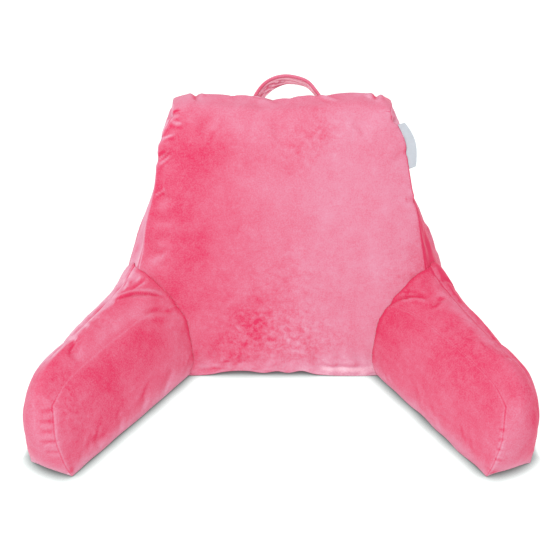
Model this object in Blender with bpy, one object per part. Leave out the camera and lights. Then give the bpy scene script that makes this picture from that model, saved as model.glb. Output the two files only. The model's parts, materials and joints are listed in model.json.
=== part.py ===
"""Reading pillow with arms: a filled backrest wedge, two filled arms, a carry handle and a side tag.

Tables and lengths are in millimetres, measured from the middle of the front panel's foot, with
+Z up and the sitter on the -Y side. The object is built in metres. An empty holds its pieces and
puts the origin on the floor, under the middle of the whole footprint.
"""

import math
from collections import namedtuple

import bpy
import numpy as np
from mathutils import Matrix, Vector

MM = 0.001

# Whole object
FOOTPRINT_MIDDLE = (-4.4, -1.6)  # x and y
SEWN_GAP = 0.3  # air between two pieces that are sewn together
BASE_ROLL = 14.0  # width of the rounded strip between a bottom seam and the flat of a base
PANEL_FULLNESS = 4.0  # how flat a filled panel stays across its middle
PANEL_SOFTNESS = 0.7  # how steeply it rises from its seams
STRIP_FULLNESS = 2.0
STRIP_SOFTNESS = 1.0

# Backrest
FACE_HEIGHT = 421.0  # front top seam above the floor
BACK_HEIGHT = 394.0  # back top seam above the floor
FACE_LEAN = math.radians(20.0)
BASE_DEPTH = 236.0
TOP_BACK_DEPTH = 236.0
BACKREST_SEAM_RISE = 8.0  # bottom seam above the floor
FRONT_CROWN = 15.0
BACK_CROWN = 13.0
CORNER_DRAW = 14.0  # how far each bottom corner is drawn in, as a filled cover does it
CORNER_LIFT = 12.0  # and how far it lifts
CORNER_REACH = 8  # a higher power keeps the draw closer to the corner
BACKREST_GRID = (30, 7, 26)
BACKREST_CROWDING = (0.45, 0.35, 0.45)  # how much the grid lines crowd towards the seams

# Half width of the front and the back panel, and how far the side strip swells beyond them,
# against the share of the way up the panel
Outline = namedtuple("Outline", "share front back swell")
BACKREST_OUTLINE = (
    Outline(0.00, 268, 284, 4),
    Outline(0.12, 263, 277, 7),
    Outline(0.20, 258, 266, 8),
    Outline(0.28, 253, 255, 8),
    Outline(0.38, 246, 241, 7),
    Outline(0.46, 236, 230, 6),
    Outline(0.57, 226, 215, 5),
    Outline(0.69, 210, 205, 4),
    Outline(0.81, 199, 198, 3),
    Outline(0.89, 193, 190, 2),
    Outline(0.93, 188, 185, 2),
    Outline(0.965, 180, 180, 1),
    Outline(0.985, 176, 179, 1),
    Outline(1.00, 177, 177, 2),
)

# How far the back panel sits to the viewer's right of the front one, against the share of the
# way up: the filling has settled to that side
BackShift = namedtuple("BackShift", "share right")
BACKREST_SETTLED = (
    BackShift(0.00, 8),
    BackShift(0.15, 8),
    BackShift(0.40, 5),
    BackShift(0.60, 1),
    BackShift(1.00, 0),
)

# How far the top strip swells, against the share of the way across from the viewer's left
TopSwell = namedtuple("TopSwell", "share swell")
BACKREST_TOP = (
    TopSwell(0.00, 8),
    TopSwell(0.05, 12),
    TopSwell(0.14, 12),
    TopSwell(0.27, 9),
    TopSwell(0.36, 5),
    TopSwell(0.50, 6),
    TopSwell(0.66, 10),
    TopSwell(0.88, 14),
    TopSwell(0.93, 10),
    TopSwell(0.97, 9),
    TopSwell(1.00, 5),
)

# Arm, in its own axes: along it from the foot of the root seam, out from its inner side, and up
ARM_HIDDEN = 55.0  # how far the uncut arm runs back into the backrest
ARM_SEAM_RISE = 5.0
INNER_SWELL_OUT = 100.0  # the inner side is a quarter of an ellipse this far across
INNER_SWELL_UP = 160.0  # and this tall
ARM_STRIP_CROWN = 17.0
ARM_INNER_CROWN = 3.0
NOSE_TIP = 310.0  # length along the arm at which its top strip has turned over to the front
NOSE_BEND = 60.0  # length that it takes for this
FRONT_SEAM_REACH = 6  # a higher power keeps the front seam's own width closer to the front
ARM_GRID = (36, 12, 14)
ARM_CROWDING = (0.2, 0.3, 0.3)

# The two arms, as uneven as filled cloth: side is -1 on the viewer's left and 1 on the right,
# splay is in degrees from straight ahead, and roll is the outward lean of the whole arm
Arm = namedtuple("Arm", "name side splay root_x outer_crown shift roll")
ARMS = (
    Arm("arm_left", -1, 34.3, 153.5, 32.0, 0.0, -0.014),
    Arm("arm_right", 1, 32.0, 157.5, 43.0, -9.0, -0.035),
)

# Top seams of the arm's two D-shaped panels, against the length along the arm
TopSeam = namedtuple("TopSeam", "along inner_up outer_out outer_up")
ARM_TOP_SEAMS = (
    TopSeam(-55, 117, 118, 172),
    TopSeam(-15, 123, 117, 168),
    TopSeam(20, 132, 113, 158),
    TopSeam(57, 138, 110, 152),
    TopSeam(115, 139.5, 103, 148),
    TopSeam(180, 139.5, 97, 146),
    TopSeam(230, 138, 95, 146),
    TopSeam(262, 134, 94, 142),
    TopSeam(288, 125, 90, 130),
    TopSeam(306, 119, 85, 115),
)

# Front edge of the two D-shaped panels, from the bottom seam up
FrontSeam = namedtuple("FrontSeam", "up inner_along outer_along outer_out")
ARM_FRONT_SEAMS = (
    FrontSeam(5, 300, 313, 73),
    FrontSeam(24, 311, 315, 76),
    FrontSeam(50, 316, 314, 80),
    FrontSeam(78, 316, 311, 83),
    FrontSeam(100, 306, 302, 85),
    FrontSeam(118, 294, 295, 85),
)

# Half width of the arm's base seam on the outer side, against the length along the arm
BaseSeam = namedtuple("BaseSeam", "along outer_out")
ARM_BASE_SEAM = (
    BaseSeam(-55, 107),
    BaseSeam(0, 108),
    BaseSeam(120, 106),
    BaseSeam(220, 100),
    BaseSeam(280, 93),
    BaseSeam(313, 73),
)

# Folds pressed into the filled pieces, each through three points on the cloth
FOLD_STEPS = 16
Fold = namedtuple("Fold", "piece start middle end width depth")
FOLDS = (
    Fold("arm_left", (-190, 30, 138), (-230, 14, 160), (-266, 2, 160), 9, 6),
    Fold("arm_left", (-176, 20, 115), (-199, 4, 130), (-222, -14, 138), 10, 4),
    Fold("arm_left", (-222, 48, 160), (-232, 34, 164), (-246, 22, 164), 8, 3),
    Fold("arm_left", (-276, -180, 26), (-288, -197, 32), (-300, -214, 42), 9, 3),
    Fold("arm_right", (173, 30, 118), (203, 6, 137), (236, -13, 157), 9, 6),
    Fold("arm_right", (236, -13, 157), (250, -6, 163), (264, 2, 164), 9, 4),
    Fold("arm_right", (198, 34, 148), (211, 24, 155), (224, 17, 160), 8, 3),
    Fold("backrest", (-206, 132, 360), (-193, 137, 372), (-170, 133, 390), 10, 5),
    Fold("backrest", (-208, 116, 335), (-194, 124, 346), (-176, 127, 366), 10, 4),
    Fold("backrest", (-190, 168, 408), (-177, 151, 413), (-160, 148, 414), 9, 6),
    Fold("backrest", (-34, 150, 421), (-37, 190, 420), (-38, 230, 402), 12, 3),
    Fold("backrest", (151, 160, 424), (152, 190, 422), (152, 222, 410), 9, 5),
    Fold("backrest", (190, 168, 405), (178, 158, 414), (160, 150, 416), 9, 5),
)

# Carry handle
HANDLE_BASE = (8.0, 207.0, 401.0)  # middle of the line between the two sewn ends
HANDLE_HALF_SPAN = 56.0
HANDLE_RISE = 48.0
HANDLE_LEAN = math.radians(55.0)  # from upright, towards the back
HANDLE_TURN = math.radians(-8.0)  # about the upright line
STRAP_WIDTH = 24.0
STRAP_THICKNESS = 5.0
STRAP_WIDE_POWER = 0.35  # powers of the strap's rounded, nearly flat section
STRAP_THICK_POWER = 0.7
STRAP_SIDES = 16
HANDLE_STEPS = 28

# Side tag
TAG_LOW = 329.0  # height of its lower end on the side seam
TAG_HIGH = 396.0
TAG_REACH = 15.0  # beyond the seam
TAG_SEWN_IN = 8.0  # inside it
TAG_BEHIND = 2.0  # behind the seam line
TAG_CURL = 4.0  # further back at its outer edge
TAG_RAISED = 3.0  # higher at its outer edge
TAG_THICKNESS = 1.4
TAG_GRID = (12, 2, 4)

VELVET_PINK = (0.84, 0.16, 0.27, 1.0)
VELVET_ROUGHNESS = 0.85
LABEL_GREY = (0.62, 0.65, 0.70, 1.0)
LABEL_ROUGHNESS = 0.6


def column(rows, name):
    """One named column of a table."""
    return np.array([getattr(row, name) for row in rows], float)


def smooth_line(x, xs, ys):
    """A smooth line through the points (xs, ys), read at x."""
    slopes = np.gradient(ys, xs)
    i = np.clip(np.searchsorted(xs, x) - 1, 0, len(xs) - 2)
    step = xs[i + 1] - xs[i]
    t = np.clip((x - xs[i]) / step, 0, 1)
    rise = t * t * (3 - 2 * t)
    start = t * (1 - t) ** 2 * slopes[i] * step
    end = t * t * (1 - t) * slopes[i + 1] * step
    return ys[i] * (1 - rise) + ys[i + 1] * rise + start - end


def blend(first, second, share):
    return first * (1 - share) + second * share


def plump(share, fullness=PANEL_FULLNESS, softness=PANEL_SOFTNESS):
    """Height of a filled panel across its width: 0 at both seams, 1 along the middle."""
    return np.clip(1 - np.abs(2 * share - 1) ** fullness, 0, 1) ** softness


def crowded(count, amount):
    """Shares from 0 to 1 that lie closer together near both ends."""
    even = np.linspace(0, 1, count + 1)
    return blend(even, (1 - np.cos(math.pi * even)) / 2, amount)


def six_panels(counts, crowding):
    """The grid points on the faces of a unit cube, and the quads between them, facing out."""
    lines = [crowded(count, amount) for count, amount in zip(counts, crowding)]
    index = {}
    quads = []

    def point(*where):
        return index.setdefault(where, len(index))

    for axis in range(3):
        one, two = (axis + 1) % 3, (axis + 2) % 3
        for i in range(counts[one]):
            for j in range(counts[two]):
                for level in (0, counts[axis]):
                    ring = []
                    for di, dj in ((0, 0), (1, 0), (1, 1), (0, 1)):
                        where = [0, 0, 0]
                        where[axis] = level
                        where[one] = i + di
                        where[two] = j + dj
                        ring.append(point(*where))
                    quads.append(ring if level else ring[::-1])
    places = np.array(list(index))
    return [lines[k][places[:, k]] for k in range(3)], quads


def corner_normals(points, quads):
    """Unit outward directions at the points of a closed skin."""
    quads = np.array(quads)
    across = points[quads[:, 2]] - points[quads[:, 0]]
    along = points[quads[:, 3]] - points[quads[:, 1]]
    facing = np.cross(across, along)
    normals = np.zeros_like(points)
    for k in range(4):
        np.add.at(normals, quads[:, k], facing)
    return normals / np.linalg.norm(normals, axis=1, keepdims=True)


def press_folds(points, quads, folds):
    """Presses folds in along the skin's own facing directions, and leaves its base flat."""
    facing = corner_normals(points, quads)
    lifted = points[:, 2] > BACKREST_SEAM_RISE
    t = np.linspace(0, 1, FOLD_STEPS + 1)[:, None]
    pressed = points.copy()
    for fold in folds:
        start, middle, end = (np.array(where) for where in (fold.start, fold.middle, fold.end))
        bend = 2 * middle - (start + end) / 2
        line = start * (1 - t) ** 2 + bend * 2 * t * (1 - t) + end * t**2
        away = np.linalg.norm(points[:, None] - line[None], axis=2)
        near = away.min(axis=1)
        fade = 1 - (2 * t[away.argmin(axis=1), 0] - 1) ** 4
        depth = fold.depth * fade * np.exp(-((near / fold.width) ** 2))
        pressed -= facing * (depth * lifted)[:, None]
    return pressed


def base_height(rise, distance, roll=BASE_ROLL):
    """Height of a base panel at a distance in from its seam: rolled at the rim and flat inside."""
    return rise * np.clip(1 - distance / roll, 0, 1)


def backrest_points(a, b, c):
    """Backrest skin: a runs from the viewer's left to right, b from front to back, c upwards."""
    share = column(BACKREST_OUTLINE, "share")
    front = smooth_line(c, share, column(BACKREST_OUTLINE, "front"))
    back = smooth_line(c, share, column(BACKREST_OUTLINE, "back"))
    half = blend(front, back, b)
    face_y = FACE_HEIGHT * c * math.tan(FACE_LEAN)
    back_y = blend(BASE_DEPTH, TOP_BACK_DEPTH, c)
    settled = smooth_line(
        c, column(BACKREST_SETTLED, "share"), column(BACKREST_SETTLED, "right")
    )
    x = half * (2 * a - 1) + b * settled
    y = blend(face_y, back_y, b)
    corner = np.abs(2 * a - 1) ** CORNER_REACH * np.abs(2 * b - 1) ** CORNER_REACH
    rise = BACKREST_SEAM_RISE + CORNER_LIFT * corner
    z = blend(FACE_HEIGHT, BACK_HEIGHT, b) * c + rise * (1 - c)

    front_swell = np.where(b == 0, FRONT_CROWN * plump(a) * plump(c), 0)
    back_swell = np.where(b == 1, BACK_CROWN * plump(a) * plump(c), 0)
    side_out = smooth_line(c, share, column(BACKREST_OUTLINE, "swell"))
    side_swell = np.where((a == 0) | (a == 1), side_out * plump(b), 0)
    top_up = smooth_line(a, column(BACKREST_TOP, "share"), column(BACKREST_TOP, "swell"))
    top_swell = np.where(c == 1, top_up * plump(b), 0)
    x = x + side_swell * np.sign(a - 0.5)
    y = y - front_swell * math.cos(FACE_LEAN) + back_swell
    y = y + top_swell * math.sin(FACE_LEAN)
    z = z + front_swell * math.sin(FACE_LEAN) + top_swell * math.cos(FACE_LEAN)

    inward = np.minimum.reduce([half - np.abs(x - b * settled), y, BASE_DEPTH - y])
    z = np.where(c == 0, base_height(rise, inward, BASE_ROLL + CORNER_DRAW * corner), z)
    drawn = CORNER_DRAW * corner * (1 - c) ** 2
    x = x - drawn * np.sign(a - 0.5)
    y = y - drawn * np.sign(b - 0.5)
    return np.stack([x, y, z], 1)


def d_panel(a, c, side):
    """Length and height of the points of a D-shaped arm panel, whose rim rounds over at the front."""
    along_top = column(ARM_TOP_SEAMS, "along")
    up = column(ARM_FRONT_SEAMS, "up")
    front = column(ARM_FRONT_SEAMS, side + "_along")
    low, high = up[0], up[-1]
    top_along = blend(-ARM_HIDDEN, front[-1], a)
    top_up = smooth_line(top_along, along_top, column(ARM_TOP_SEAMS, side + "_up"))
    front_up = blend(low, high, c)
    front_along = smooth_line(front_up, up, front)
    base_along = blend(-ARM_HIDDEN, front[0], a)
    root_top = smooth_line(-ARM_HIDDEN, along_top, column(ARM_TOP_SEAMS, side + "_up"))
    corner_top = column(ARM_TOP_SEAMS, side + "_up")[-1]
    along = (
        blend(base_along, top_along, c)
        + blend(-ARM_HIDDEN, front_along, a)
        - blend(-ARM_HIDDEN, blend(front[0], front[-1], c), a)
    )
    height = (
        blend(low, top_up, c)
        + blend(blend(low, root_top, c), front_up, a)
        - blend(blend(low, root_top, c), blend(low, corner_top, c), a)
    )
    return along, height


def arm_points(a, b, c, arm):
    """Arm skin: a runs from root to front, b from inner to outer side, c upwards."""
    along_top = column(ARM_TOP_SEAMS, "along")
    up = column(ARM_FRONT_SEAMS, "up")

    inner_along, inner_up = d_panel(a, c, "inner")
    outer_along, outer_up = d_panel(a, c, "outer")
    reach = np.clip(inner_up / INNER_SWELL_UP, 0, 1)
    inner_out = INNER_SWELL_OUT * (1 - np.sqrt(1 - reach * reach))
    outer_top = smooth_line(outer_along, along_top, column(ARM_TOP_SEAMS, "outer_out"))
    outer_base = smooth_line(
        outer_along, column(ARM_BASE_SEAM, "along"), column(ARM_BASE_SEAM, "outer_out")
    )
    outer_front = smooth_line(outer_up, up, column(ARM_FRONT_SEAMS, "outer_out"))
    outer_out = blend(blend(outer_base, outer_top, c), outer_front, a**FRONT_SEAM_REACH)

    along = blend(inner_along, outer_along, b)
    out = blend(inner_out, outer_out, b)
    height = blend(inner_up, outer_up, b)

    back_from_nose = np.clip((NOSE_TIP - along) / NOSE_BEND, 0, 1)
    tilt = np.where(c == 1, 1 + back_from_nose, c) * math.pi / 4
    strip = (a == 1) | (c == 1)
    swell = np.where(strip, ARM_STRIP_CROWN * plump(b, STRIP_FULLNESS, STRIP_SOFTNESS), 0)
    swell = np.where((a == 1) & (c < 1), swell * plump(c / 2), swell)
    along = along + swell * np.cos(tilt)
    height = height + swell * np.sin(tilt)

    panel = plump(c) * plump(0.5 + a / 2)
    out = out + np.where(b == 1, arm.outer_crown * panel, 0)
    out = out - np.where(b == 0, ARM_INNER_CROWN * panel, 0)
    out = out + arm.roll * height

    base_front = column(ARM_FRONT_SEAMS, "inner_along")[0]
    inward = np.minimum.reduce([out, outer_base - out, base_front - along])
    height = np.where(c == 0, base_height(ARM_SEAM_RISE, inward), height)
    return np.stack([arm.side * out, -along - arm.shift, height], 1)


def cloth(name, colour, roughness):
    material = bpy.data.materials.new(name + "_cloth")
    material.use_nodes = True
    shader = material.node_tree.nodes["Principled BSDF"]
    shader.inputs["Base Color"].default_value = colour
    shader.inputs["Roughness"].default_value = roughness
    shader.inputs["Metallic"].default_value = 0.0
    return material


def triangles(faces):
    """Each face as a fan of triangles, so that a piece and its cutter share every crease."""
    return [[face[0], one, two] for face in faces for one, two in zip(face[1:], face[2:])]


def new_object(name, points, faces, base):
    """An object whose points are given in millimetres, on the empty that holds the pillow."""
    mesh = bpy.data.meshes.new(name)
    mesh.from_pydata((points * MM).tolist(), [], triangles(faces))
    mesh.validate()
    thing = bpy.data.objects.new(name, mesh)
    thing.parent = base
    bpy.context.scene.collection.objects.link(thing)
    return thing


def in_velvet(thing):
    thing.data.materials.append(cloth(thing.name, VELVET_PINK, VELVET_ROUGHNESS))
    return thing


def cut_by(thing, cutter):
    cut = thing.modifiers.new("sewn edge", "BOOLEAN")
    cut.operation = "DIFFERENCE"
    cut.solver = "EXACT"
    cut.object = cutter


def folds_of(name, place=Vector(), turn=0.0):
    """A piece's folds, in the axes of a piece that stands at a place and is turned about +Z."""
    back = Matrix.Rotation(-turn, 3, "Z")
    for fold in FOLDS:
        if fold.piece == name:
            ends = (fold.start, fold.middle, fold.end)
            start, middle, end = (back @ (Vector(where) - place) for where in ends)
            yield fold._replace(start=start, middle=middle, end=end)


def build_base():
    """The empty that holds every piece."""
    base = bpy.data.objects.new("pillow", None)
    base.location = (-FOOTPRINT_MIDDLE[0] * MM, -FOOTPRINT_MIDDLE[1] * MM, 0.0)
    bpy.context.scene.collection.objects.link(base)
    return base


def build_backrest(base):
    """The backrest, and a cutter that is larger than it all round by the sewn gap."""
    (a, b, c), quads = six_panels(BACKREST_GRID, BACKREST_CROWDING)
    points = press_folds(backrest_points(a, b, c), quads, folds_of("backrest"))
    in_velvet(new_object("backrest", points, quads, base))
    grown = points + SEWN_GAP * corner_normals(points, quads)
    cutter = new_object("backrest_cutter", grown, quads, base)
    cutter.hide_render = True
    cutter.display_type = "WIRE"
    return cutter


def build_arm(arm, base, cutter):
    """An arm, in axes that stand at the foot of its root seam and are turned by its splay."""
    (a, b, c), quads = six_panels(ARM_GRID, ARM_CROWDING)
    if arm.side < 0:
        quads = [quad[::-1] for quad in quads]
    place = Vector((arm.side * arm.root_x, 0.0, 0.0))
    turn = arm.side * math.radians(arm.splay)
    folds = folds_of(arm.name, place, turn)
    points = press_folds(arm_points(a, b, c, arm), quads, folds)
    thing = in_velvet(new_object(arm.name, points, quads, base))
    thing.location = place * MM
    thing.rotation_euler.z = turn
    cut_by(thing, cutter)


def strap_section():
    """Points round the strap, as offsets across it and through it."""
    for turn in np.linspace(0, 2 * math.pi, STRAP_SIDES, endpoint=False):
        wide = np.sign(math.cos(turn)) * abs(math.cos(turn)) ** STRAP_WIDE_POWER
        thick = np.sign(math.sin(turn)) * abs(math.sin(turn)) ** STRAP_THICK_POWER
        yield STRAP_WIDTH / 2 * wide, STRAP_THICKNESS / 2 * thick


def build_handle(base, cutter):
    """The strap bent into an arch, with both ends running down into the top seam."""
    span = np.array([math.cos(HANDLE_TURN), math.sin(HANDLE_TURN), 0.0])
    level = np.array([-span[1], span[0], 0.0])
    rise = np.array([0.0, 0.0, math.cos(HANDLE_LEAN)]) + level * math.sin(HANDLE_LEAN)
    across = np.cross(span, rise)
    points = []
    for turn in np.linspace(0, math.pi, HANDLE_STEPS + 1):
        ray = -math.cos(turn) * span + math.sin(turn) * rise
        middle = np.array(HANDLE_BASE) - HANDLE_HALF_SPAN * math.cos(turn) * span
        middle = middle + HANDLE_RISE * math.sin(turn) * rise
        points.extend(middle + wide * across + thick * ray for wide, thick in strap_section())
    last = HANDLE_STEPS * STRAP_SIDES
    faces = [list(range(STRAP_SIDES))[::-1], list(range(last, len(points)))]
    for low in range(0, last, STRAP_SIDES):
        for k in range(STRAP_SIDES):
            after = (k + 1) % STRAP_SIDES
            faces.append([low + k, low + after, low + STRAP_SIDES + after, low + STRAP_SIDES + k])
    strap = in_velvet(new_object("handle", np.array(points), faces, base))
    cut_by(strap, cutter)


def build_tag(base, cutter):
    """The folded label that stands out of the side seam on the viewer's right."""
    (a, b, c), quads = six_panels(TAG_GRID, (0, 0, 0))
    height = blend(TAG_LOW, TAG_HIGH, a)
    level = height / FACE_HEIGHT
    share = column(BACKREST_OUTLINE, "share")
    seam = smooth_line(level, share, column(BACKREST_OUTLINE, "front"))
    x = seam + blend(-TAG_SEWN_IN, TAG_REACH, c)
    y = height * math.tan(FACE_LEAN) + TAG_BEHIND + TAG_CURL * c * c + TAG_THICKNESS * (b - 0.5)
    z = height + TAG_RAISED * c
    points = np.stack([x, y, z], 1)
    tag = new_object("tag", points, [quad[::-1] for quad in quads], base)
    tag.data.materials.append(cloth("tag", LABEL_GREY, LABEL_ROUGHNESS))
    cut_by(tag, cutter)


def main():
    for thing in list(bpy.data.objects):
        bpy.data.objects.remove(thing)
    base = build_base()
    cutter = build_backrest(base)
    for arm in ARMS:
        build_arm(arm, base, cutter)
    build_handle(base, cutter)
    build_tag(base, cutter)


main()
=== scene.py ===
"""Looks of the reading pillow with arms: velvet covers, a strap handle and a blank ribbon tag.

Tables are in millimetres, measured from the middle of the front panel's foot with +Z up and the
sitter on the -Y side, as in the solids' source. in_frame() takes them to the frame's metres.
"""

import json
import math
from collections import namedtuple

import bpy
import numpy as np
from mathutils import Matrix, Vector, noise
from mathutils.kdtree import KDTree

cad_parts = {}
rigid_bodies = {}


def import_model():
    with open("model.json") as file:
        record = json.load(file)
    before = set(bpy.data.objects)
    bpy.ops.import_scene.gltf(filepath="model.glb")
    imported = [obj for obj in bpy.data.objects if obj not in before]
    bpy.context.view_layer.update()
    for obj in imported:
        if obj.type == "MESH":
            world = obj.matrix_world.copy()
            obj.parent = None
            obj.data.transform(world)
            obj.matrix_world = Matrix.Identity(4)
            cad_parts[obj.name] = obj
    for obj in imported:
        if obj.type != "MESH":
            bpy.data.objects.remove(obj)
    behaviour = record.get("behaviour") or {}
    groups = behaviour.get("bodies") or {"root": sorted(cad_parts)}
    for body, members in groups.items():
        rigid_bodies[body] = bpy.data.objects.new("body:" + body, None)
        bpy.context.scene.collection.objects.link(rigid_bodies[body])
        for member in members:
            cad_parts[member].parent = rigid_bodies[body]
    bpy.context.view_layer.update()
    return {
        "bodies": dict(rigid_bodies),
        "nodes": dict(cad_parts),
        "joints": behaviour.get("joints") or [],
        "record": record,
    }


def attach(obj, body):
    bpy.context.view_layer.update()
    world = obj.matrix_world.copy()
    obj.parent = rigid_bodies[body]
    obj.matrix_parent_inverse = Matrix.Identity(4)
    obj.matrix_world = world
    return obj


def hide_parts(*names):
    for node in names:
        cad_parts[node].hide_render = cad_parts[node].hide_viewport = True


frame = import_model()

MM = 0.001


def table(columns, *rows):
    """Rows whose values have names."""
    row = namedtuple("row", columns)
    return [row(*values) for values in rows]


# Whole object
FOOTPRINT_MIDDLE = (-4.4, -1.6)  # x and y
SEWN_GAP = 0.3  # air between two pieces that are sewn together
NEAR = 30.0  # distances between pieces are measured only as far as this
FAR = 1000.0
PANEL_FULLNESS = 4.0
PANEL_SOFTNESS = 0.7
STRIP_FULLNESS = 2.0
STRIP_SOFTNESS = 1.0

# Backrest
FACE_HEIGHT = 421.0
BACK_HEIGHT = 394.0
FACE_LEAN = math.radians(20.0)
BASE_DEPTH = 236.0
TOP_BACK_DEPTH = 236.0
BACKREST_SEAM_RISE = 10.0
BACKREST_HEM = table(  # how far the front bottom seam waves off the floor
    "right rise",
    (-260, 6), (-170, 1), (-141, 1), (-120, 3.5), (-99, 8), (-58, 10),
    (-29, 6.5), (-8, 9.5), (10, 5.5), (32, 10), (56, 3.5), (75, 1.5),
    (144, 0.5), (200, 2), (260, 6),
)
FRONT_CROWN = 15.0
BACK_CROWN = 13.0
CORNER_DRAW = 14.0
CORNER_LIFT = 12.0
CORNER_REACH = 8
BASE_ROLL = 20.0  # width of the rounded strip between the bottom seam and the flat of the base
HEM_WAVES_END = 0.4
BACKREST_GRID = (74, 34, 74)

BACKREST_OUTLINE = table(
    "share front back swell",
    (0.00, 268, 284, 4),
    (0.12, 263, 277, 6),
    (0.20, 258, 266, 7),
    (0.28, 253, 255, 7),
    (0.38, 246, 241, 5),
    (0.46, 237, 229, 2),
    (0.57, 229, 212, -3),
    (0.69, 215, 200, -7),
    (0.81, 205, 192, -8),
    (0.89, 199, 186, -6),
    (0.93, 191, 183, -3),
    (0.965, 181, 180, 0),
    (0.985, 176, 179, 1),
    (1.00, 177, 177, 2),
)
BACKREST_SETTLED = table(
    "share right",
    (0.00, 8), (0.15, 8), (0.40, 5), (0.60, 1), (1.00, 0),
)
BACKREST_TOP = table(
    "share swell",
    (0.00, 8), (0.05, 12), (0.14, 12), (0.27, 9), (0.36, 7.5), (0.50, 6),
    (0.66, 10), (0.88, 14), (0.93, 10), (0.97, 9), (1.00, 5),
)

# Arm, in its own axes: along it from the foot of the root seam, out from its inner side, and up
ARM_HIDDEN = 55.0
ARM_SEAM_RISE = 3.5
ARM_BASE_ROLL = 12.0
INNER_SWELL_OUT = 100.0
INNER_SWELL_UP = 160.0
ARM_STRIP_CROWN = 17.0
ARM_INNER_CROWN = 6.0
NOSE_TIP = 310.0
NOSE_BEND = 60.0
NOSE_OUT_FROM_TO = (200.0, 280.0)
FRONT_SEAM_REACH = 6
ARM_GRID = (74, 26, 34)

Arm = namedtuple("Arm", "name side splay root_x outer_crown shift roll nose_out")
ARMS = (
    Arm("arm_left", -1, 34.3, 153.5, 32.0, 0.0, -0.014, 0.0),
    Arm("arm_right", 1, 32.0, 157.5, 41.0, -8.0, -0.035, 5.0),
)
ARM_TOP_SEAMS = table(
    "along inner_up outer_out outer_up",
    (-55, 117, 119, 177),
    (-15, 123, 119, 174),
    (20, 132, 114, 162),
    (57, 138, 110, 152),
    (115, 139.5, 103, 148),
    (180, 139.5, 97, 146),
    (230, 138, 95, 146),
    (262, 134, 94, 142),
    (288, 125, 90, 130),
    (306, 119, 85, 115),
)
ARM_FRONT_SEAMS = table(
    "up inner_along outer_along outer_out",
    (3.5, 302, 313, 73),
    (24, 311, 315, 76),
    (50, 316, 314, 80),
    (78, 316, 311, 83),
    (100, 306, 302, 85),
    (118, 294, 295, 85),
)
ARM_BASE_SEAM = table(
    "along outer_out",
    (-55, 107), (0, 108), (120, 106), (220, 100), (280, 93), (313, 73),
)

# Sewn seams and the cloth gathered along them
SEAM_CROWDING = 0.6  # how much the grid lines crowd towards the seams
SEAM_DEPTHS = {"backrest": 0.9, "arm_left": 0.45, "arm_right": 0.7}
# Edges of the unit cube, by the axis that each runs along and the two shares that it lies at
EDGES = {(axis, i, j) for axis in range(3) for i in (0, 1) for j in (0, 1)}
FAINT_SEAMS = {(0, 0, 1)}  # lost in the pile, so they count as further away
FAINT_AWAY = {"backrest": 9.0, "arm_left": 1.7, "arm_right": 1.1}
FAINT_FROM = 45.0  # nearer than this to another seam they show more and more
ROUNDED_TURNS = 60
ROUNDED_REACH = {"backrest": 14.0, "arm_left": 9.0, "arm_right": 9.0}
SEAM_WIDTH = 1.8
PUCKER_DEPTH = 0.8
PUCKER_LENGTH = 11.0  # how far puckers reach from a seam
PUCKER_PITCH = 13.0
PUCKER_START = 2.5
PUCKER_SLANT = 0.35
PUCKER_SHARPNESS = 2.2
PUCKER_GROUPS = 90.0
PUCKER_GROUPS_FROM_TO = (-0.25, 0.35)
PUCKER_LEAST = 0.35
ROOT_TUCK = 0.7  # how far an arm's cloth rolls in where it is sewn to the backrest
ROOT_TUCK_REACH = 5.0
ROOT_TUCK_FROM_TO = (2.0, 12.0)  # heights above the floor
ROOT_SHADE = 0.35  # painted shade: how much darker the pile's colour is in the crevice there
LUMP_SIZE = 75.0  # lumps of the filling
LUMP_HEIGHT = 1.6
DENT_SIZE = 28.0
DENT_HEIGHT = 0.55
LUMPS_FROM = 18.0
# How far the bottom edges wave off the floor
HEM_LIFTS = {"backrest": 2.0, "arm_left": 1.5, "arm_right": 5.0}
HEM_WAVE = 42.0
HEM_REACH = 10.0
LIFT_START = 4.0  # below this height the cloth lies on the floor
LIFT_END = 20.0

# Where the cloth is calmer than the pressed one, by a share
PATCH = "place reach amount"
CALM_PATCHES = {}
CALM_PATCHES["backrest"] = table(
    PATCH,
    ((190, 105, 320), 55, 0.85), ((205, 80, 255), 40, 0.6), ((195, 65, 208), 42, 0.75),
    ((-200, 120, 345), 30, 0.5), ((238, 90, 195), 22, 0.8), ((-168, 150, 408), 16, 0.6),
)
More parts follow.
